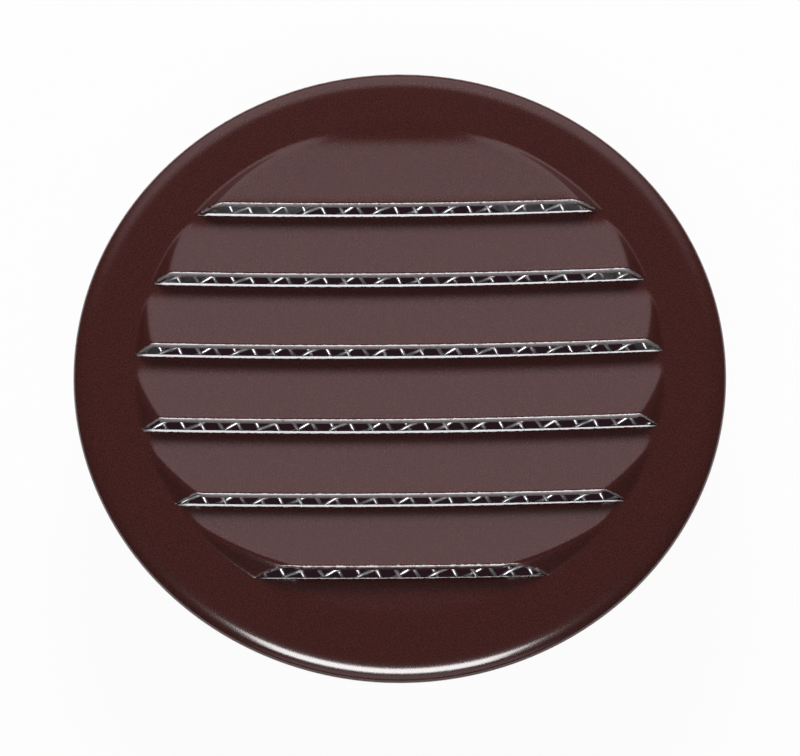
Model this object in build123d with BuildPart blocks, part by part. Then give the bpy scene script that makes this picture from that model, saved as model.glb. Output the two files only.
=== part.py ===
"""Round mini louver: stamped face with closed-end louvers, insect screen behind it, push-in collar.

Millimetres. +Z points out of the face, +Y is up as the louver sits in a wall, and the collar's back edge
lies on Z = 0. The face, the screen and the collar's flange are held together by the face's rolled hem.
"""

import os
from math import atan2, cos, degrees, sin, sqrt, tan

from build123d import *

os.makedirs("parts", exist_ok=True)

# Face sheet and rolled rim
flange_diameter = 61.9
face_sheet = 0.55
hem_clearance = 0.5

# Collar that pushes into the drilled hole
collar_diameter = 50.8
collar_sheet = 0.5
collar_depth = 12.7
collar_bend = 0.4
lead_length = 1.6
lead_inset = 0.35

# Louvered field: a shallow dish inside the flange, with a bank of hoods standing out of it
field_radius = 24.9
dish_depth = 1.15
slot_pitch = 7.406
top_margin = 1.75
top_hood_run = 7.17
bottom_margin = 2.6
strip_flat = 1.6
hood_height = 1.8
lip_setback = 0.62
hood_bend = 5.5
ramp_inset = 1.9
bend_sink = 0.07

# Woven insect screen: the real cloth has four wires to every ridge of this coarser one
wire_diameter = 0.28
wires_per_ridge = 4
wire_spacing = 1.5875
weave_bite = 0.14
weave_angle = 29.0
screen_clearance = 0.08
screen_slack = 0.15
edge_clearance = 0.1

# Heights through the rim, from the wall side to the front
screen_thickness = 2 * wire_diameter
return_top = collar_depth + face_sheet
ring_top = return_top + collar_sheet
sheet_back = ring_top + screen_thickness + 2 * screen_clearance
face_top = sheet_back + face_sheet

# Radii of the rim
flange_radius = flange_diameter / 2
rim_round = (face_top - collar_depth) / 2
rim_centre = flange_radius - rim_round
collar_radius = collar_diameter / 2
hem_inner = collar_radius + collar_bend + hem_clearance
clamped_radius = rim_centre - edge_clearance

# The dish is part of a large sphere, and the hoods bow along X with the same radius
bowl_radius = (field_radius**2 + dish_depth**2) / (2 * dish_depth)
bowl_centre = face_top - dish_depth + bowl_radius
bow_half_angle = (field_radius + ramp_inset) / bowl_radius
dish_edge = (bowl_radius - dish_depth, field_radius)

# Slots run down the field from the first hood, as many as leave the bottom margin
top_slot = field_radius - top_margin - top_hood_run
slot_count = int((top_slot + field_radius - bottom_margin) / slot_pitch) + 1
slot_places = [top_slot - k * slot_pitch for k in range(slot_count)]
hood_runs = [top_hood_run] + [slot_pitch - strip_flat] * (slot_count - 1)

# The end ramps lie on a cone that stands on the field circle
ramp_angle = atan2(hood_height, ramp_inset)
ramp_wall = face_sheet / sin(ramp_angle)

# The forms that cut the hoods reach this far past the sheet, in front and behind
cutter_reach = 4 * hood_height
cutter_top = face_top + cutter_reach
cutter_bottom = face_top - dish_depth - cutter_reach
slot_cut = 3 * face_sheet
hood_root = face_sheet / 2

bow_plane = Plane(
    origin=(-bowl_radius * sin(bow_half_angle), 0, bowl_centre - bowl_radius * cos(bow_half_angle)),
    x_dir=(0, 1, 0),
    z_dir=(cos(bow_half_angle), 0, -sin(bow_half_angle)),
)
bow_axis = Axis((0, 0, bowl_centre), (0, -1, 0))
bow_arc = degrees(2 * bow_half_angle)


def strip_height(y):
    """Height of the dished sheet's front at y, above the middle of the dish."""
    return y**2 / (2 * bowl_radius)


def hood_line(slot, run):
    """Crease point, lip point and slope of one hood's front, in the bank's section."""
    crease = Vector(slot + run, strip_height(slot + run))
    lip = Vector(slot + lip_setback, strip_height(slot) + hood_height)
    slope = atan2(lip.Y - crease.Y, crease.X - lip.X)
    return crease, lip, slope


def outside_ramps(foot):
    """Corners of the half section outside the end ramps, whose cone crosses the face at the foot radius."""
    low = -foot - (face_top - cutter_bottom) / tan(ramp_angle)
    high = -foot + (cutter_top - face_top) / tan(ramp_angle)
    far = -flange_diameter
    return (low, cutter_bottom), (high, cutter_top), (far, cutter_top), (far, cutter_bottom)


def hood_block(slot, run):
    """Solid outside form of one hood, with a soft concave bend where it leaves the sheet."""
    crease, lip, slope = hood_line(slot, run)
    reach = hood_bend * tan(slope / 2)
    lift = hood_bend * (1 / cos(slope / 2) - 1)
    start = Vector(crease.X + reach, strip_height(crease.X + reach) - bend_sink)
    middle = Vector(crease.X + lift * sin(slope / 2), crease.Y + lift * cos(slope / 2) - bend_sink / 2)
    end = Vector(crease.X - reach * cos(slope), crease.Y + reach * sin(slope))
    root_setback = lip_setback * (hood_root - bend_sink) / hood_height
    with BuildPart() as block:
        with BuildSketch(bow_plane):
            with BuildLine():
                ThreePointArc(start, middle, end)
                Polyline(
                    end,
                    lip,
                    (slot - root_setback, strip_height(slot) - hood_root),
                    (start.X, start.Y - hood_root),
                    start,
                )
            make_face()
        revolve(axis=bow_axis, revolution_arc=bow_arc)
        with BuildSketch(Plane.YZ):
            with BuildLine():
                Polyline(*outside_ramps(field_radius), close=True)
            make_face()
        revolve(axis=Axis.Z, mode=Mode.SUBTRACT)
    return block.part


def hood_hollow(slot, run):
    """Space under one hood, a sheet thickness inside it, open along the slot and out at the back."""
    crease, lip, slope = hood_line(slot, run)
    drop = face_sheet / cos(slope)
    ahead = slot - face_sheet
    behind = crease.X + face_sheet
    lip_under = lip.Y - drop + (lip.X - ahead) * tan(slope)
    bend_under = crease.Y - drop - face_sheet * tan(slope)
    deep = strip_height(slot) - slot_cut
    with BuildPart() as hollow:
        with BuildSketch(bow_plane):
            with BuildLine():
                Polyline(
                    (slot, deep),
                    (slot, strip_height(slot) + bend_sink),
                    (ahead, lip_under),
                    (behind, bend_under),
                    (behind, min(deep, bend_under - face_sheet)),
                    close=True,
                )
            make_face()
        revolve(axis=bow_axis, revolution_arc=bow_arc)
        with BuildSketch(Plane.YZ):
            with BuildLine():
                Polyline(*outside_ramps(field_radius - ramp_wall), close=True)
            make_face()
        revolve(axis=Axis.Z, mode=Mode.SUBTRACT)
    return hollow.part


hood_blocks = [hood_block(slot, run) for slot, run in zip(slot_places, hood_runs)]
hood_hollows = [hood_hollow(slot, run) for slot, run in zip(slot_places, hood_runs)]

# Stamped face: dished field, flat flange, and a hem rolled round the screen and the collar's flange
with BuildPart() as louver_cap:
    with BuildSketch(Plane.XZ):
        with BuildLine():
            Spline((0, face_top - dish_depth), (field_radius, face_top), tangents=((1, 0), dish_edge))
            Line((field_radius, face_top), (rim_centre, face_top))
            ThreePointArc(
                (rim_centre, face_top),
                (flange_radius, face_top - rim_round),
                (rim_centre, collar_depth),
            )
            Polyline((rim_centre, collar_depth), (hem_inner, collar_depth), (hem_inner, return_top))
            Line((hem_inner, return_top), (rim_centre, return_top))
            ThreePointArc(
                (rim_centre, return_top),
                (flange_radius - face_sheet, face_top - rim_round),
                (rim_centre, sheet_back),
            )
            Line((rim_centre, sheet_back), (field_radius, sheet_back))
            Spline((0, sheet_back - dish_depth), (field_radius, sheet_back), tangents=((1, 0), dish_edge))
            Line((0, sheet_back - dish_depth), (0, face_top - dish_depth))
        make_face()
    revolve(axis=Axis.Z)
    for block in hood_blocks:
        add(block)
    for hollow in hood_hollows:
        add(hollow, mode=Mode.SUBTRACT)

# Drawn collar with a turned-out flange and a lead-in at its back edge
with BuildPart() as collar_ring:
    with BuildSketch(Plane.XZ):
        inner = collar_radius - collar_sheet
        outer_bend = collar_bend + collar_sheet
        bend_low = return_top - collar_bend
        with BuildLine():
            Polyline(
                (inner - lead_inset, 0),
                (inner, lead_length),
                (inner, bend_low),
            )
            RadiusArc((inner, bend_low), (inner + outer_bend, ring_top), outer_bend)
            Polyline(
                (inner + outer_bend, ring_top),
                (clamped_radius, ring_top),
                (clamped_radius, return_top),
                (collar_radius + collar_bend, return_top),
            )
            RadiusArc((collar_radius + collar_bend, return_top), (collar_radius, bend_low), -collar_bend)
            Polyline(
                (collar_radius, bend_low),
                (collar_radius, lead_length),
                (collar_radius - lead_inset, 0),
                (inner - lead_inset, 0),
            )
        make_face()
    revolve(axis=Axis.Z)

# Screen: two layers of ridges that bite into each other, sag with the dish and are clamped flat in the rim
ridge_spacing = wires_per_ridge * wire_spacing
ridge_width = wires_per_ridge * wire_diameter
ridge_height = (screen_thickness + weave_bite) / 2
screen_top = sheet_back - screen_clearance
lower_top = screen_top - screen_thickness + ridge_height
screen_sag = dish_depth + screen_slack
ridge_count = int(clamped_radius / ridge_spacing)

with BuildPart() as insect_screen:
    for turn, level in ((weave_angle, screen_top), (weave_angle + 90, lower_top)):
        for k in range(-ridge_count, ridge_count + 1):
            offset = k * ridge_spacing
            reach = sqrt(clamped_radius**2 - offset**2)
            span = sqrt(max(field_radius**2 - offset**2, 0))
            sag = screen_sag * (span / field_radius) ** 2
            across = Vector(0, 1, 0).rotate(Axis.Z, turn)
            along = Vector(1, 0, 0).rotate(Axis.Z, turn)
            side = Plane(origin=across * offset + Vector(0, 0, level), x_dir=along, z_dir=across * -1)
            with BuildSketch(side):
                with BuildLine():
                    if span > ridge_width:
                        Line((-reach, 0), (-span, 0))
                        ThreePointArc((-span, 0), (0, -sag), (span, 0))
                        Line((span, 0), (reach, 0))
                        Line((reach, 0), (reach, -ridge_height))
                        Line((reach, -ridge_height), (span, -ridge_height))
                        ThreePointArc(
                            (span, -ridge_height),
                            (0, -sag - ridge_height),
                            (-span, -ridge_height),
                        )
                        Line((-span, -ridge_height), (-reach, -ridge_height))
                        Line((-reach, -ridge_height), (-reach, 0))
                    else:
                        Polyline(
                            (-reach, 0),
                            (reach, 0),
                            (reach, -ridge_height),
                            (-reach, -ridge_height),
                            close=True,
                        )
                make_face()
            extrude(amount=ridge_width / 2, both=True)
    with BuildSketch(Plane.XY):
        Circle(clamped_radius)
    extrude(amount=face_top, mode=Mode.INTERSECT)

for name, piece in (
    ("louver_cap", louver_cap),
    ("insect_screen", insect_screen),
    ("collar_ring", collar_ring),
):
    piece.part.label = name
    export_step(piece.part, f"parts/{name}.step")
    print(name, "volume", round(piece.part.volume, 2), "solids", len(piece.part.solids()))
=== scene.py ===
import bmesh
import bpy
import numpy as np
from mathutils import Matrix, Vector


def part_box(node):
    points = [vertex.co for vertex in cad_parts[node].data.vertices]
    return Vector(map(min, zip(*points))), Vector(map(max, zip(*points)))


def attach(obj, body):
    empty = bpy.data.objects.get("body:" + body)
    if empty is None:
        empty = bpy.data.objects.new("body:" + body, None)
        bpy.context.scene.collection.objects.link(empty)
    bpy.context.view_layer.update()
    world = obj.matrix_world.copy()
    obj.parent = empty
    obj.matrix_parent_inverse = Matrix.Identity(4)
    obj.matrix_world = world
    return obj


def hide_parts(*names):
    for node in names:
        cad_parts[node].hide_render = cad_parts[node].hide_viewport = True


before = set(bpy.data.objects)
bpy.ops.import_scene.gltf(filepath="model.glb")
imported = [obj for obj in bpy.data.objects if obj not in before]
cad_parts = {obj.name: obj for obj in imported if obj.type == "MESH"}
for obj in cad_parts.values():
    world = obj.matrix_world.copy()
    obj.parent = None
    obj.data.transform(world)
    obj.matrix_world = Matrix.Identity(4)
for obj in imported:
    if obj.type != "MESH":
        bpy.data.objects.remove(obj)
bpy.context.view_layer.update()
print("frame loaded:", sorted(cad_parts))

mm = 0.001  # shapes are worked out in millimetres and put into the meshes in metres
capLow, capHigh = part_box("louver_cap")
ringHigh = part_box("collar_ring")[1]
tiny = 1e-9  # guards divisions
weld = 1e-6  # points closer than this, in metres, are one
white = (1, 1, 1, 1)

# The stamped face: sizes of the sheet, its dish and its bank of hoods
face = {
    "sheet": 0.55,
    "rimDepth": 2.32,  # front of the flange to the back of the rolled hem
    "rimShoulder": 2.0,  # how far in from the edge the flange starts to fall
    "hemInner": 26.3,
    "fieldRadius": 24.9,
    "hoodRadius": 25.3,  # circle on which the hoods' end ramps stand
    "patchRadius": 26.4,  # where the field's grid meets the flange
    "dishDepth": 1.15,
    "dishSoft": 0.03,
    "firstSlot": 15.98,
    "slotPitch": 7.406,
    "slotCount": 6,
    "slotShift": (-0.2, 0.03, 0.1, -0.1, -0.13, -0.05),  # how far each slot strays from its even place
    "firstRun": 7.8,
    "hoodRun": 5.806,
    "hoodHeight": 1.8,
    "lipSetback": (0.34, 0.36, 0.42, 0.5, 0.44, 0.56),
    "creaseBlend": 2.1,
    "rampSlope": 1.15,
    "rampFoot": 0.5,
    "rampEase": 0.4,  # the lift starts from nothing over this distance
    "ridgeRound": 0.5,
    "lipRound": 0.24,
    "lipOpen": 0.5,  # lift at which a slot is fully open
    "lipBare": 0.09,
    "lipWear": (0.25, 0.35, 0.35, 0.35, 0.4, 0.12),  # how far each lip's edge is worn bare
    "burrHeight": 0.08,
    "burrWidth": 0.2,
    "burrFade": 0.9,  # length over which the burr dies out at its ends
    "burrLean": 0.35,  # how much narrower it is at its right end
    "burrShare": (1.0, 1.0, 1.0, 1.0, 0.95, 0.32),  # how much of the burr each slot shows
    "columns": 140,
    "columnCrowd": 0.55,  # share of the columns' spacing that is crowded at the ends
    "bodyRows": 22,
    "rowCrowd": 1.7,  # power that crowds rows at the field's top and lowest points
    "edgeRows": 7,
    "edgeReach": 1.3,  # the close rows under a slot reach this many burr widths
    "flatSteps": 6,
    "fallSteps": 15,
    "turnSteps": 10,
    "noseSteps": 7,
    "insideSteps": 11,
}
faceTop = capLow.z / mm + face["rimDepth"]
flangeRadius = min(capHigh.x, capHigh.y) / mm
slots = [face["firstSlot"] - k * face["slotPitch"] + face["slotShift"][k] for k in range(face["slotCount"])]


def smoothStep(t):  # 3t^2 - 2t^3 between 0 and 1
    t = np.clip(t, 0, 1)
    return t * t * (3 - 2 * t)


def softLine(t, slope, blend):  # zero, then a parabola over the blend, then a straight rise
    bend = slope * np.clip(t + blend / 2, 0, blend) ** 2 / (2 * blend)
    return bend + slope * np.maximum(t - blend / 2, 0)


def softMin(a, b, k):  # the smaller of two heights, with the corner between them rounded over k
    near = np.maximum(k - np.abs(a - b), 0) / k
    return np.minimum(a, b) - near * near * k / 4


def gridQuads(rows, columns, start=0):  # corner numbers of a rows x columns grid of points, as quads
    first = start + np.arange(rows - 1)[:, None] * columns + np.arange(columns - 1)[None, :]
    return np.stack([first, first + columns, first + columns + 1, first + 1], -1)


def makePiece(name, points, quads, sharp=38, **attributes):  # mesh object from points in mm, doubles welded
    mesh = bpy.data.meshes.new(name)
    mesh.from_pydata((points * mm).tolist(), [], quads.tolist())
    for key, values in attributes.items():
        layer = mesh.attributes.new(key, "FLOAT", "POINT")
        layer.data.foreach_set("value", np.ascontiguousarray(values, np.float32))
    bm = bmesh.new()
    bm.from_mesh(mesh)
    bmesh.ops.remove_doubles(bm, verts=bm.verts, dist=weld)
    bmesh.ops.recalc_face_normals(bm, faces=bm.faces)
    bm.to_mesh(mesh)
    bm.free()
    mesh.polygons.foreach_set("use_smooth", np.ones(len(mesh.polygons), bool))
    mesh.set_sharp_from_angle(angle=np.radians(sharp))
    piece = bpy.data.objects.new(name, mesh)
    bpy.context.scene.collection.objects.link(piece)
    print(name, len(mesh.vertices), "points", len(mesh.polygons), "faces")
    return piece


def dishShare(radius):  # 1 - (radius / field radius)^2, turned softly to zero at the field circle
    share = 1 - (radius / face["fieldRadius"]) ** 2
    return (share + np.sqrt(share * share + face["dishSoft"] ** 2)) / 2


def dishFall(radius):  # paraboloid inside the field circle, eased to flat by the patch circle
    room = (face["patchRadius"] - radius) / (face["patchRadius"] - face["fieldRadius"])
    return -face["dishDepth"] * dishShare(radius) * smoothStep(room)


def hoodLift(x, y, slot, run):  # a slope up from the crease to the lip, held under the cone of the end ramps
    slope = face["hoodHeight"] / run
    hood = softLine(slot + run - y, slope, face["creaseBlend"])
    inside = face["hoodRadius"] - np.hypot(x, y)
    ramp = softLine(inside - face["rampFoot"] / 2, face["rampSlope"], face["rampFoot"])
    return np.maximum(softMin(hood, ramp, face["ridgeRound"]) * smoothStep(inside / face["rampEase"]), 0)


def bandRows(top, bottom, hasSlotAbove, hasSlotBelow):  # y of the rows, close together at the slot edges
    edge = face["edgeReach"] * face["burrWidth"]
    start = top - edge if hasSlotAbove else top
    stop = bottom + face["lipRound"] if hasSlotBelow else bottom
    p = np.linspace(0, 1, face["bodyRows"] + 1)
    if not hasSlotAbove:
        p = p ** face["rowCrowd"]
    if not hasSlotBelow:
        p = 1 - (1 - p) ** face["rowCrowd"]
    parts = [start + (stop - start) * p]
    if hasSlotAbove:
        parts.insert(0, np.linspace(top, start, face["edgeRows"])[:-1])
    if hasSlotBelow:
        turn = np.linspace(0, np.pi / 2, face["edgeRows"])[1:]
        parts.append(bottom + face["lipRound"] * (1 - np.sin(turn)))
    return np.concatenate(parts)


def louverField():
    # Bands of sheet between the slots. Across a band x = s * half chord of the patch circle, with s crowded
    # at the ends, and z = flange + dish + hood. The back is the front moved along its normals by the sheet.
    p = np.linspace(-1, 1, face["columns"] + 1)
    s = p + face["columnCrowd"] * (np.sin(p * np.pi / 2) - p)
    reach = face["patchRadius"]
    edges = [reach] + slots + [-reach]
    runs = [face["firstRun"]] + [face["hoodRun"]] * (face["slotCount"] - 1)
    bands = []
    for k in range(face["slotCount"] + 1):
        above, below = k > 0, k < face["slotCount"]
        rows = bandRows(edges[k], edges[k + 1], above, below)
        y = np.repeat(rows[:, None], len(s), 1)
        x = s[None, :] * np.sqrt(np.maximum(reach**2 - y * y, 0))
        lift = hoodLift(x, y, edges[k + 1], runs[k]) if below else np.zeros_like(x)
        z = faceTop + dishFall(np.hypot(x, y)) + lift
        z[:, [0, -1]] = faceTop
        lean = y + (face["lipSetback"][k] * lift / face["hoodHeight"] if below else 0)
        points = np.stack([x, lean, z], -1)
        normal = np.cross(np.gradient(points, axis=1), np.gradient(points, axis=0))
        normal *= np.sign(normal[..., 2:] + tiny)
        size = np.linalg.norm(normal, axis=-1, keepdims=True)
        normal = np.where(size > tiny, normal / np.maximum(size, tiny), (0.0, 0.0, 1.0))
        normal[:, [0, -1]] = (0.0, 0.0, 1.0)
        bands.append({"x": x, "y": y, "lift": lift, "points": points, "normal": normal})
    for k in range(face["slotCount"]):  # past the slot's ends the two bands are one sheet
        upper, lower = bands[k], bands[k + 1]
        half = np.sqrt(face["hoodRadius"] ** 2 - slots[k] ** 2)
        joined = np.abs(upper["x"][-1]) >= half
        mean = upper["normal"][-1] + lower["normal"][0]
        mean /= np.linalg.norm(mean, axis=-1, keepdims=True)
        upper["normal"][-1, joined] = mean[joined]
        lower["normal"][0, joined] = mean[joined]
        upper["joinedBelow"] = lower["joinedAbove"] = joined
    return bands


def edgeWork(bands):
    # Rolls the hood's lip over with a quarter circle, raises a torn burr along the strip under each slot,
    # and gives every point its wear: above 0 is bare metal, below 0 is enamel.
    for k, band in enumerate(bands):
        x, y, normal = band["x"], band["y"], band["normal"]
        front = band["points"].copy()
        wear = np.full(x.shape, -1.0)
        if "joinedBelow" in band:
            depth = face["lipRound"]
            away = np.abs(y - slots[k])
            opened = smoothStep(band["lift"][-1] / face["lipOpen"])[None, :]
            drop = depth - np.sqrt(np.maximum(depth**2 - np.maximum(depth - away, 0) ** 2, 0))
            front -= normal * (drop * opened)[..., None]
            worn = face["lipWear"][k] * (1 - away / face["lipBare"])
            wear = np.maximum(wear, worn * opened - (1 - opened))
        if "joinedAbove" in band:
            half = np.sqrt(face["fieldRadius"] ** 2 - slots[k - 1] ** 2)
            away = np.abs(y - slots[k - 1])
            inside = half - np.abs(x)
            share = face["burrShare"][k - 1] * (1 - face["burrLean"] * smoothStep(x / half))
            width = face["burrWidth"] * share
            opened = smoothStep(inside[0] / face["burrFade"])[None, :] * (inside > 0)
            burr = np.maximum(1 - away / width, 0)
            front += normal * (face["burrHeight"] * share * burr * opened)[..., None]
            strip = np.where(inside > 0, (width - away) / face["burrWidth"], -1)
            wear = np.maximum(wear, strip)
        band["front"] = front
        band["back"] = band["points"] - normal * face["sheet"]
        band["wear"] = np.clip(wear, -1, 1)


def flangeRing(angles):
    # Profile of the flange, rolled rim and hem, from the patch circle round to the sheet's back, carried
    # round the axis at the given angles. The front falls as a quarter ellipse, the rest is arcs.
    sheet, inner = face["sheet"], face["patchRadius"]
    rimRound = face["rimDepth"] / 2
    rimCentre = flangeRadius - rimRound
    hemInner = face["hemInner"]
    middle = faceTop - rimRound
    shoulder = face["rimShoulder"]
    flat = np.linspace(inner, flangeRadius - shoulder, face["flatSteps"])[:-1]
    fall = np.linspace(np.pi / 2, 0, face["fallSteps"])[:-1]
    outer = np.linspace(0, -np.pi / 2, face["turnSteps"])
    nose = np.linspace(-np.pi / 2, -3 * np.pi / 2, face["noseSteps"])
    inside = np.linspace(-np.pi / 2, np.pi / 2, face["insideSteps"])
    noseRound = sheet / 2
    radius = np.concatenate([
        flat,
        flangeRadius - shoulder + shoulder * np.cos(fall),
        rimCentre + rimRound * np.cos(outer),
        hemInner + noseRound + noseRound * np.cos(nose),
        rimCentre + (rimRound - sheet) * np.cos(inside),
        [inner],
    ])
    height = np.concatenate([
        np.full(len(flat), faceTop),
        middle + rimRound * np.sin(fall),
        middle + rimRound * np.sin(outer),
        middle - rimRound + noseRound + noseRound * np.sin(nose),
        middle + (rimRound - sheet) * np.sin(inside),
        [faceTop - sheet],
    ])
    x = np.cos(angles)[:, None] * radius[None, :]
    y = np.sin(angles)[:, None] * radius[None, :]
    return np.stack([x, y, np.repeat(height[None, :], len(angles), 0)], -1)


def buildCap():
    # The field's bands and the flange's ring as one sheet: fronts, backs and the sheared faces between them.
    bands = louverField()
    edgeWork(bands)
    points, quads, wear, start = [], [], [], 0
    sides = []
    for band in bands:
        rows, columns = band["x"].shape
        front = gridQuads(rows, columns, start)
        back = gridQuads(rows, columns, start + rows * columns)
        quads += [front.reshape(-1, 4), back.reshape(-1, 4)[:, ::-1]]
        backWear = np.full((rows, columns), -1.0)
        for row, key in ((0, "joinedAbove"), (rows - 1, "joinedBelow")):
            if key in band:  # the sheared faces along an open slot, bare to the back under the slot only
                line = start + row * columns + np.arange(columns)
                under = line + rows * columns
                cut = np.stack([line[:-1], line[1:], under[1:], under[:-1]], -1)
                quads.append(cut[~(band[key][:-1] & band[key][1:])])
                backWear[row] = np.where(band[key] | (key == "joinedBelow"), -1.0, 1.0)
        points += [band["front"].reshape(-1, 3), band["back"].reshape(-1, 3)]
        wear += [band["wear"].ravel(), backWear.ravel()]
        sides.append(band["y"][:, 0])
        start += 2 * rows * columns
    heights = np.unique(np.concatenate(sides))
    rise = np.arcsin(np.clip(heights / face["patchRadius"], -1, 1))
    angles = np.concatenate([rise, (np.pi - rise)[::-1][1:-1]])
    ring = flangeRing(np.append(angles, angles[0]))
    quads.append(gridQuads(ring.shape[0], ring.shape[1], start).reshape(-1, 4))
    points.append(ring.reshape(-1, 3))
    wear.append(np.full(ring.shape[0] * ring.shape[1], -1.0))
    return makePiece("stamped_face", np.concatenate(points), np.concatenate(quads), wear=np.concatenate(wear))


# The woven screen behind the slots
screen = {
    "wire": 0.34,
    "edgeRadius": 29.6,
    "middle": 14.11,  # height of the cloth where the rim clamps it
    "sag": 1.3,
    "risingTurn": 28.4,
    "risingPitch": 1.5875,
    "risingPhase": -0.41,
    "fallingTurn": -62.5,
    "fallingPitch": 1.568,
    "fallingPhase": -0.307,
    "stepsPerPitch": 6,
    "sides": 6,
}


def screenLevel(x, y):  # the cloth sags with the dish and lies flat in the rim
    return screen["middle"] - screen["sag"] * dishShare(np.hypot(x, y))


def wireSet(turn, pitch, phase, crossPitch, crossPhase, crossTurn, over):
    # Each wire runs along its turn at k * pitch + phase, and weaves up and down by half a wire times
    # cos(pi * t / cross pitch), changing sign from one wire to the next. A ring of points follows it.
    along = np.array([np.cos(turn), np.sin(turn)])
    across = np.array([-np.sin(turn), np.cos(turn)])
    crossNormal = np.array([-np.sin(crossTurn), np.cos(crossTurn)])
    count = int(screen["edgeRadius"] / pitch) + 1
    ringTurn = np.linspace(0, 2 * np.pi, screen["sides"] + 1)[:-1]
    points, quads, start = [], [], 0
    for k in range(-count, count + 1):
        offset = k * pitch + phase
        if abs(offset) > screen["edgeRadius"] - screen["wire"]:
            continue
        half = np.sqrt(screen["edgeRadius"] ** 2 - offset**2)
        steps = int(2 * half / crossPitch * screen["stepsPerPitch"]) + 2
        t = np.linspace(-half, half, steps)
        flat = along * t[:, None] + across * offset
        crossing = (flat @ crossNormal - crossPhase) / crossPitch
        wave = over * (-1) ** k * screen["wire"] / 2 * np.cos(np.pi * crossing)
        centre = np.column_stack([flat, screenLevel(flat[:, 0], flat[:, 1]) + wave])
        tangent = np.gradient(centre, axis=0)
        tangent /= np.linalg.norm(tangent, axis=1, keepdims=True)
        side = np.append(across, 0.0)
        lift = np.cross(tangent, side)
        rings = (
            centre[:, None, :]
            + screen["wire"] / 2 * np.cos(ringTurn)[None, :, None] * side
            + screen["wire"] / 2 * np.sin(ringTurn)[None, :, None] * lift[:, None, :]
        )
        rings[[0, -1]] = centre[[0, -1], None]  # each end drawn to a point
        wrapped = np.concatenate([rings, rings[:, :1]], 1)
        quads.append(gridQuads(steps, screen["sides"] + 1, start).reshape(-1, 4))
        points.append(wrapped.reshape(-1, 3))
        start += wrapped.shape[0] * wrapped.shape[1]
    return np.concatenate(points), np.concatenate(quads)


def buildScreen():  # two sets of wires, each over where the other is under
    rising = np.radians(screen["risingTurn"])
    falling = np.radians(screen["fallingTurn"])
    risePoints, riseQuads = wireSet(
        rising, screen["risingPitch"], screen["risingPhase"],
        screen["fallingPitch"], screen["fallingPhase"], falling, 1,
    )
    fallPoints, fallQuads = wireSet(
        falling, screen["fallingPitch"], screen["fallingPhase"],
        screen["risingPitch"], screen["risingPhase"], rising, -1,
    )
    points = np.concatenate([risePoints, fallPoints])
    quads = np.concatenate([riseQuads, fallQuads + len(risePoints)])
    return makePiece("screen_cloth", points, quads, sharp=180)


# The drawn collar behind the flange
collar = {
    "sheet": 0.5,
    "bend": 0.4,
    "leadLength": 1.6,
    "leadInset": 0.35,
    "radius": 25.4,
    "edgeRound": 0.12,
    "bendSteps": 9,
    "edgeSteps": 7,
    "segments": 192,
}


def buildCollar():
    # Profile of a sleeve with a turned-out flange, carried round the axis: straight runs joined by arcs.
    sheet, bend, outer = collar["sheet"], collar["bend"], collar["radius"]
    inner, top = outer - sheet, ringHigh.z / mm
    flange = ringHigh.x / mm
    low = top - sheet - bend
    sweep = np.linspace(0, np.pi / 2, collar["bendSteps"])
    wide = bend + sheet
    hub = outer + bend
    nose = np.linspace(-np.pi / 2, np.pi / 2, collar["edgeSteps"])
    foot = np.linspace(0, np.pi, collar["edgeSteps"])
    lead, inset, tip = collar["leadLength"], collar["leadInset"], collar["edgeRound"]
    radius = np.concatenate([
        inner - inset + sheet / 2 - sheet / 2 * np.cos(foot),
        [outer],
        hub - bend * np.cos(sweep),
        flange - sheet / 2 + sheet / 2 * np.cos(nose),
        (hub - wide * np.cos(sweep))[::-1],
        [inner],
    ])
    height = np.concatenate([
        tip - tip * np.sin(foot),
        [lead],
        low + bend * np.sin(sweep),
        top - sheet / 2 + sheet / 2 * np.sin(nose),
        (low + wide * np.sin(sweep))[::-1],
        [lead],
    ])
    radius, height = np.append(radius, radius[0]), np.append(height, height[0])
    angles = np.linspace(0, 2 * np.pi, collar["segments"] + 1)
    x = np.cos(angles)[:, None] * radius[None, :]
    y = np.sin(angles)[:, None] * radius[None, :]
    points = np.stack([x, y, np.repeat(height[None, :], len(angles), 0)], -1)
    return makePiece("collar_sleeve", points.reshape(-1, 3), gridQuads(*points.shape[:2]).reshape(-1, 4))


# Small helpers for the node materials
def newMaterial(name):
    material = bpy.data.materials.new(name)
    material.use_nodes = True
    material.node_tree.nodes.clear()
    return material, material.node_tree


def addNode(tree, kind, feeds=None, **values):  # feeds are links or constants by socket, values go by name
    node = tree.nodes.new(kind)
    for key, value in values.items():
        if hasattr(node, key):
            setattr(node, key, value)
        else:
            node.inputs[key.replace("_", " ")].default_value = value
    for key, feed in (feeds or {}).items():
        if isinstance(feed, bpy.types.NodeSocket):
            tree.links.new(feed, node.inputs[key])
        else:
            node.inputs[key].default_value = feed
    return node


def mixColours(tree, share, first, second):  # first at a share of 0, second at 1; each a colour or a socket
    node = addNode(tree, "ShaderNodeMix", {"Factor": share, 6: first, 7: second}, data_type="RGBA")
    return node.outputs[2]


enamel = {
    "colour": (0.062, 0.0158, 0.0131, 1),
    "dark": (0.034, 0.0074, 0.006, 1),
    "metal": (0.3, 0.3, 0.31, 1),
    "gloss": 0.18,
    "bareRough": 0.5,
    "index": 1.75,  # index of refraction of the enamel
    "peelScale": 1300.0,
    "peelStrength": 0.05,
    "peelDepth": 0.00004,
    "grainScale": 8000.0,
    "grainSpan": (0.39, 0.61),  # the noise values that give the dark and the light grains
    "chipScale": 2600.0,
    "chipSpread": 1.1,  # how far the noise moves the edge of the bare metal
    "chipDetail": 3.0,
    "bareSpan": (-0.04, 0.1),  # wear over which enamel gives way to metal
}


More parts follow.
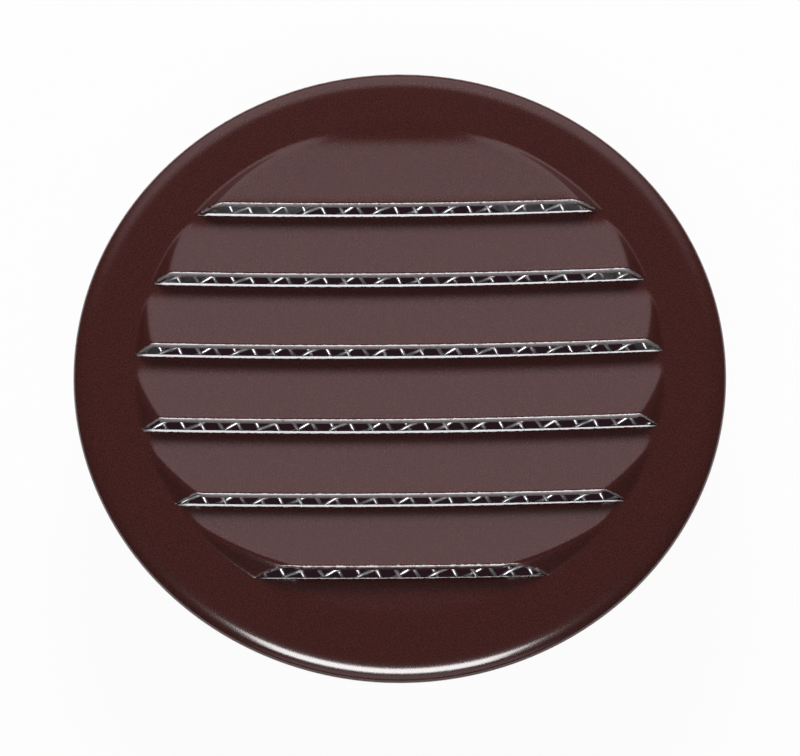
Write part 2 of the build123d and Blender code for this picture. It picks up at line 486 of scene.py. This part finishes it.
def bakedEnamel():
    # Glossy brown enamel with a fine orange peel. Where the wear attribute, broken up by noise, is above 0,
    # the sheet's bare aluminium shows.
    material, tree = newMaterial("baked_enamel")
    where = addNode(tree, "ShaderNodeTexCoord").outputs["Object"]
    wear = addNode(tree, "ShaderNodeAttribute", attribute_name="wear").outputs["Fac"]
    chip = addNode(
        tree, "ShaderNodeTexNoise", {"Vector": where}, Scale=enamel["chipScale"], Detail=enamel["chipDetail"],
    )
    spread = enamel["chipSpread"]
    shifted = addNode(
        tree, "ShaderNodeMath", {0: chip.outputs["Fac"], 1: spread, 2: -spread / 2}, operation="MULTIPLY_ADD",
    )
    total = addNode(tree, "ShaderNodeMath", {0: wear, 1: shifted.outputs[0]}, operation="ADD")
    bare = addNode(
        tree, "ShaderNodeMapRange", {"Value": total.outputs[0]},
        From_Min=enamel["bareSpan"][0], From_Max=enamel["bareSpan"][1],
    ).outputs["Result"]
    peel = addNode(tree, "ShaderNodeTexNoise", {"Vector": where}, Scale=enamel["peelScale"])
    grain = addNode(tree, "ShaderNodeTexNoise", {"Vector": where}, Scale=enamel["grainScale"])
    speck = addNode(
        tree, "ShaderNodeMapRange", {"Value": grain.outputs["Fac"]},
        From_Min=enamel["grainSpan"][0], From_Max=enamel["grainSpan"][1],
    )
    tone = mixColours(tree, speck.outputs[0], enamel["dark"], enamel["colour"])
    colour = mixColours(tree, bare, tone, enamel["metal"])
    rough = addNode(
        tree, "ShaderNodeMapRange", {"Value": bare},
        To_Min=enamel["gloss"], To_Max=enamel["bareRough"],
    ).outputs["Result"]
    skin = addNode(
        tree, "ShaderNodeBump", {"Height": peel.outputs["Fac"]},
        Strength=enamel["peelStrength"], Distance=enamel["peelDepth"],
    )
    shader = addNode(
        tree, "ShaderNodeBsdfPrincipled",
        {"Base Color": colour, "Metallic": bare, "Roughness": rough, "Normal": skin.outputs[0]},
        IOR=enamel["index"],
    )
    addNode(tree, "ShaderNodeOutputMaterial", {"Surface": shader.outputs[0]})
    return material


wireMetal = {
    "colour": (0.96, 0.96, 0.97, 1),
    "rough": 0.42,
    "metallic": 0.8,
    "drawScale": 2500.0,
    "stretch": (1, 1, 1),
}
collarMetal = {
    "colour": (0.72, 0.73, 0.75, 1),
    "rough": 0.34,
    "metallic": 1.0,
    "drawScale": 900.0,
    "stretch": (1, 1, 0.05),  # the sleeve's marks run along its axis
}
drawMarks = {
    "detail": 3.0,
    "dull": 0.86,  # share of the colour left in the dark of a mark
    "roughSpread": 0.1,
    "strength": 0.1,
    "depth": 0.00003,
}


def bareAluminium(name, finish):  # bare metal with fine drawing marks
    material, tree = newMaterial(name)
    where = addNode(tree, "ShaderNodeTexCoord").outputs["Object"]
    turned = addNode(tree, "ShaderNodeMapping", {"Vector": where}, Scale=finish["stretch"])
    marks = addNode(
        tree, "ShaderNodeTexNoise", {"Vector": turned.outputs[0]},
        Scale=finish["drawScale"], Detail=drawMarks["detail"],
    ).outputs["Fac"]
    rough = addNode(
        tree, "ShaderNodeMapRange", {"Value": marks},
        To_Min=finish["rough"] - drawMarks["roughSpread"],
        To_Max=finish["rough"] + drawMarks["roughSpread"],
    )
    bump = addNode(
        tree, "ShaderNodeBump", {"Height": marks},
        Strength=drawMarks["strength"], Distance=drawMarks["depth"],
    )
    dull = tuple(drawMarks["dull"] * c for c in finish["colour"][:3]) + (1,)
    tone = mixColours(tree, marks, dull, finish["colour"])
    shader = addNode(
        tree, "ShaderNodeBsdfPrincipled",
        {"Base Color": tone, "Roughness": rough.outputs[0], "Normal": bump.outputs[0]},
        Metallic=finish["metallic"],
    )
    addNode(tree, "ShaderNodeOutputMaterial", {"Surface": shader.outputs[0]})
    return material


# The pieces, each on its place in the frame
stampedFace = buildCap()
stampedFace.data.materials.append(bakedEnamel())
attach(stampedFace, "root")
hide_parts("louver_cap")

screenCloth = buildScreen()
screenCloth.data.materials.append(bareAluminium("screen_wire", wireMetal))
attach(screenCloth, "root")
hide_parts("insect_screen")

collarSleeve = buildCollar()
collarSleeve.data.materials.append(bareAluminium("collar_metal", collarMetal))
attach(collarSleeve, "root")
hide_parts("collar_ring")
print("pieces built")

# White floor, surroundings and lamps
studio = {
    "floorHalf": 1.5,
    "floorPoints": 5,  # along each side
    "floorColour": (0.8, 0.8, 0.8, 1),
    "floorGlow": 0.94,
    "mirrorColour": (0.95, 0.9, 0.9, 1),  # the floor near the louver, as the gloss sees it
    "farColour": (0.06, 0.05, 0.05, 1),
    "mirrorSpan": (0.06, 0.085),  # distance over which the one gives way to the other
    # painted shade: inside a small disc under the collar the floor is made dark and glows dimly to the
    # camera, standing in for the deep shade under the louver
    "paintedShadeColour": (0.085, 0.052, 0.066, 1),
    "paintedShadeGlow": (0.019, 0.009, 0.0125, 1),  # painted shade: the dim dark glow the camera sees on the floor inside the collar, through the slots
    "paintedShadeRadius": 0.0248,
    "surround": 0.07,
    "backGlow": 0.75,
    "wallColour": (1.0, 0.8, 0.84, 1),
    "backSpan": (0.45, 0.72),  # Y of the directions between which the back wall brightens
    "frontGlow": 0.75,
    "frontSpan": (-0.72, -0.9),  # Y of the directions between which the front wall brightens
    "wallSpan": (0.35, 0.75),  # distance from the middle plane over which it fades to the sides
    "lampDistance": 0.6,
    "backAngle": -50.0,  # lamp angles are from straight above, towards the front
    "backSize": (0.3, 0.2),
    "backRadiance": 15.5,
    "frontAngle": 33.0,
    "frontSide": -0.03,
    "frontSize": (0.46, 0.22),
    "frontRadiance": 5.0,
    "glintRadiance": 12.5,
    "glintStep": 0.02,  # the glint lamp stands this far nearer than the front one
}


def buildFloor():  # a square on Z = 0, white to the camera outside the collar, which still takes the shadow; inside the collar it carries painted shade, a dark colour and a dim dark glow
    half = studio["floorHalf"] / mm
    count = studio["floorPoints"]
    line = np.linspace(-half, half, count)
    x, y = np.meshgrid(line, line)
    points = np.stack([x, y, np.zeros_like(x)], -1)
    floor = makePiece("floor", points.reshape(-1, 3), gridQuads(count, count).reshape(-1, 4)[:, ::-1])
    material, tree = newMaterial("floor_white")
    path = addNode(tree, "ShaderNodeLightPath")
    where = addNode(tree, "ShaderNodeTexCoord").outputs["Object"]
    away = addNode(tree, "ShaderNodeVectorMath", {0: where}, operation="LENGTH").outputs["Value"]
    # painted shade: inside the disc the floor's colour and its glow to the camera are darkened
    outside = addNode(
        tree, "ShaderNodeMath", {0: away, 1: studio["paintedShadeRadius"]}, operation="GREATER_THAN",
    ).outputs[0]
    ground = mixColours(tree, outside, studio["paintedShadeColour"], studio["floorColour"])
    shown = mixColours(tree, outside, studio["paintedShadeGlow"], white)
    far = addNode(
        tree, "ShaderNodeMapRange", {"Value": away},
        From_Min=studio["mirrorSpan"][0], From_Max=studio["mirrorSpan"][1],
    )
    seen = mixColours(tree, far.outputs[0], studio["mirrorColour"], studio["farColour"])
    lit = mixColours(tree, path.outputs["Is Glossy Ray"], ground, seen)
    glow = addNode(
        tree, "ShaderNodeMath", {0: path.outputs["Is Camera Ray"], 1: studio["floorGlow"]},
        operation="MULTIPLY",
    )
    matte = addNode(tree, "ShaderNodeBsdfDiffuse", {"Color": lit})
    bright = addNode(tree, "ShaderNodeEmission", {"Color": shown}, Strength=1.0)
    mixed = addNode(
        tree, "ShaderNodeMixShader", {0: glow.outputs[0], 1: matte.outputs[0], 2: bright.outputs[0]},
    )
    addNode(tree, "ShaderNodeOutputMaterial", {"Surface": mixed.outputs[0]})
    floor.data.materials.append(material)


def buildSurroundings():  # bright walls at the back and low in front, dim elsewhere, white to the camera
    world = bpy.data.worlds.new("studio")
    world.use_nodes = True
    tree = world.node_tree
    tree.nodes.clear()
    where = addNode(tree, "ShaderNodeTexCoord").outputs["Generated"]
    apart = addNode(tree, "ShaderNodeSeparateXYZ", {0: where})
    side = addNode(tree, "ShaderNodeMath", {0: apart.outputs["X"]}, operation="ABSOLUTE")
    wall = addNode(
        tree, "ShaderNodeMapRange", {"Value": side.outputs[0]}, interpolation_type="SMOOTHSTEP",
        From_Min=studio["wallSpan"][0], From_Max=studio["wallSpan"][1],
        To_Min=studio["backGlow"], To_Max=studio["surround"],
    )
    level = addNode(
        tree, "ShaderNodeMapRange", {"Value": apart.outputs["Y"], "To Max": wall.outputs[0]},
        interpolation_type="SMOOTHSTEP", From_Min=studio["backSpan"][0], From_Max=studio["backSpan"][1],
        To_Min=studio["surround"],
    )
    low = addNode(
        tree, "ShaderNodeMapRange", {"Value": apart.outputs["Y"]}, interpolation_type="SMOOTHSTEP",
        From_Min=studio["frontSpan"][0], From_Max=studio["frontSpan"][1],
        To_Min=studio["surround"], To_Max=studio["frontGlow"],
    )
    most = addNode(tree, "ShaderNodeMath", {0: level.outputs[0], 1: low.outputs[0]}, operation="MAXIMUM")
    path = addNode(tree, "ShaderNodeLightPath")
    around = addNode(
        tree, "ShaderNodeBackground", {"Strength": most.outputs[0], "Color": studio["wallColour"]},
    )
    plain = addNode(tree, "ShaderNodeBackground", {"Color": white}, Strength=1.0)
    mixed = addNode(
        tree, "ShaderNodeMixShader",
        {0: path.outputs["Is Camera Ray"], 1: around.outputs[0], 2: plain.outputs[0]},
    )
    addNode(tree, "ShaderNodeOutputWorld", {"Surface": mixed.outputs[0]})
    bpy.context.scene.world = world


def addLamp(name, angle, side, size, radiance, step=0, diffuse=True, glossy=True):
    # A rectangle aimed at the face, its power worked out from its radiance and area.
    tilt = np.radians(angle)
    place = faceCentre + (studio["lampDistance"] - step) * Vector((0, -np.sin(tilt), np.cos(tilt)))
    place.x = side
    lamp = bpy.data.lights.new(name, "AREA")
    lamp.shape = "RECTANGLE"
    lamp.size, lamp.size_y = size
    lamp.energy = radiance * np.pi * size[0] * size[1]
    holder = bpy.data.objects.new(name, lamp)
    toward = faceCentre - place
    holder.matrix_world = Matrix.Translation(place) @ toward.to_track_quat("-Z", "Y").to_matrix().to_4x4()
    holder.visible_diffuse = diffuse
    holder.visible_glossy = glossy
    bpy.context.scene.collection.objects.link(holder)


faceCentre = Vector((0, 0, faceTop * mm))
buildFloor()
buildSurroundings()
front = studio["frontAngle"], studio["frontSide"], studio["frontSize"]
addLamp("back", studio["backAngle"], 0, studio["backSize"], studio["backRadiance"], glossy=False)
addLamp("front", *front, studio["frontRadiance"], glossy=False)
addLamp("glint", *front, studio["glintRadiance"], studio["glintStep"], diffuse=False)

# The camera stands below the louver's middle, looking square at it with a long lens
view = {
    "tilt": 21.57,  # from straight above the face towards the front
    "distance": 0.35,
    "lens": 166.58,
    "sensor": 36.0,
    "nearest": 0.01,
    "roll": -0.5,
    "frame": (800, 756),
    "middlePixel": (399.7, 364.48),  # where the face's centre falls in the frame
}


def buildCamera():  # at distance * (0, -sin tilt, cos tilt) from the face's centre
    tilt = np.radians(view["tilt"])
    place = faceCentre + view["distance"] * Vector((0, -np.sin(tilt), np.cos(tilt)))
    camera = bpy.data.cameras.new("camera")
    camera.lens = view["lens"]
    camera.sensor_width = view["sensor"]
    camera.sensor_fit = "HORIZONTAL"
    camera.clip_start = view["nearest"]
    width, height = view["frame"]
    camera.shift_x = (width / 2 - view["middlePixel"][0]) / width
    camera.shift_y = (view["middlePixel"][1] - height / 2) / width
    holder = bpy.data.objects.new("camera", camera)
    turn = Matrix.Rotation(tilt, 4, "X") @ Matrix.Rotation(np.radians(view["roll"]), 4, "Z")
    holder.matrix_world = Matrix.Translation(place) @ turn
    bpy.context.scene.collection.objects.link(holder)
    bpy.context.scene.camera = holder


buildCamera()
bpy.context.scene.view_settings.view_transform = "Standard"
print("studio ready")
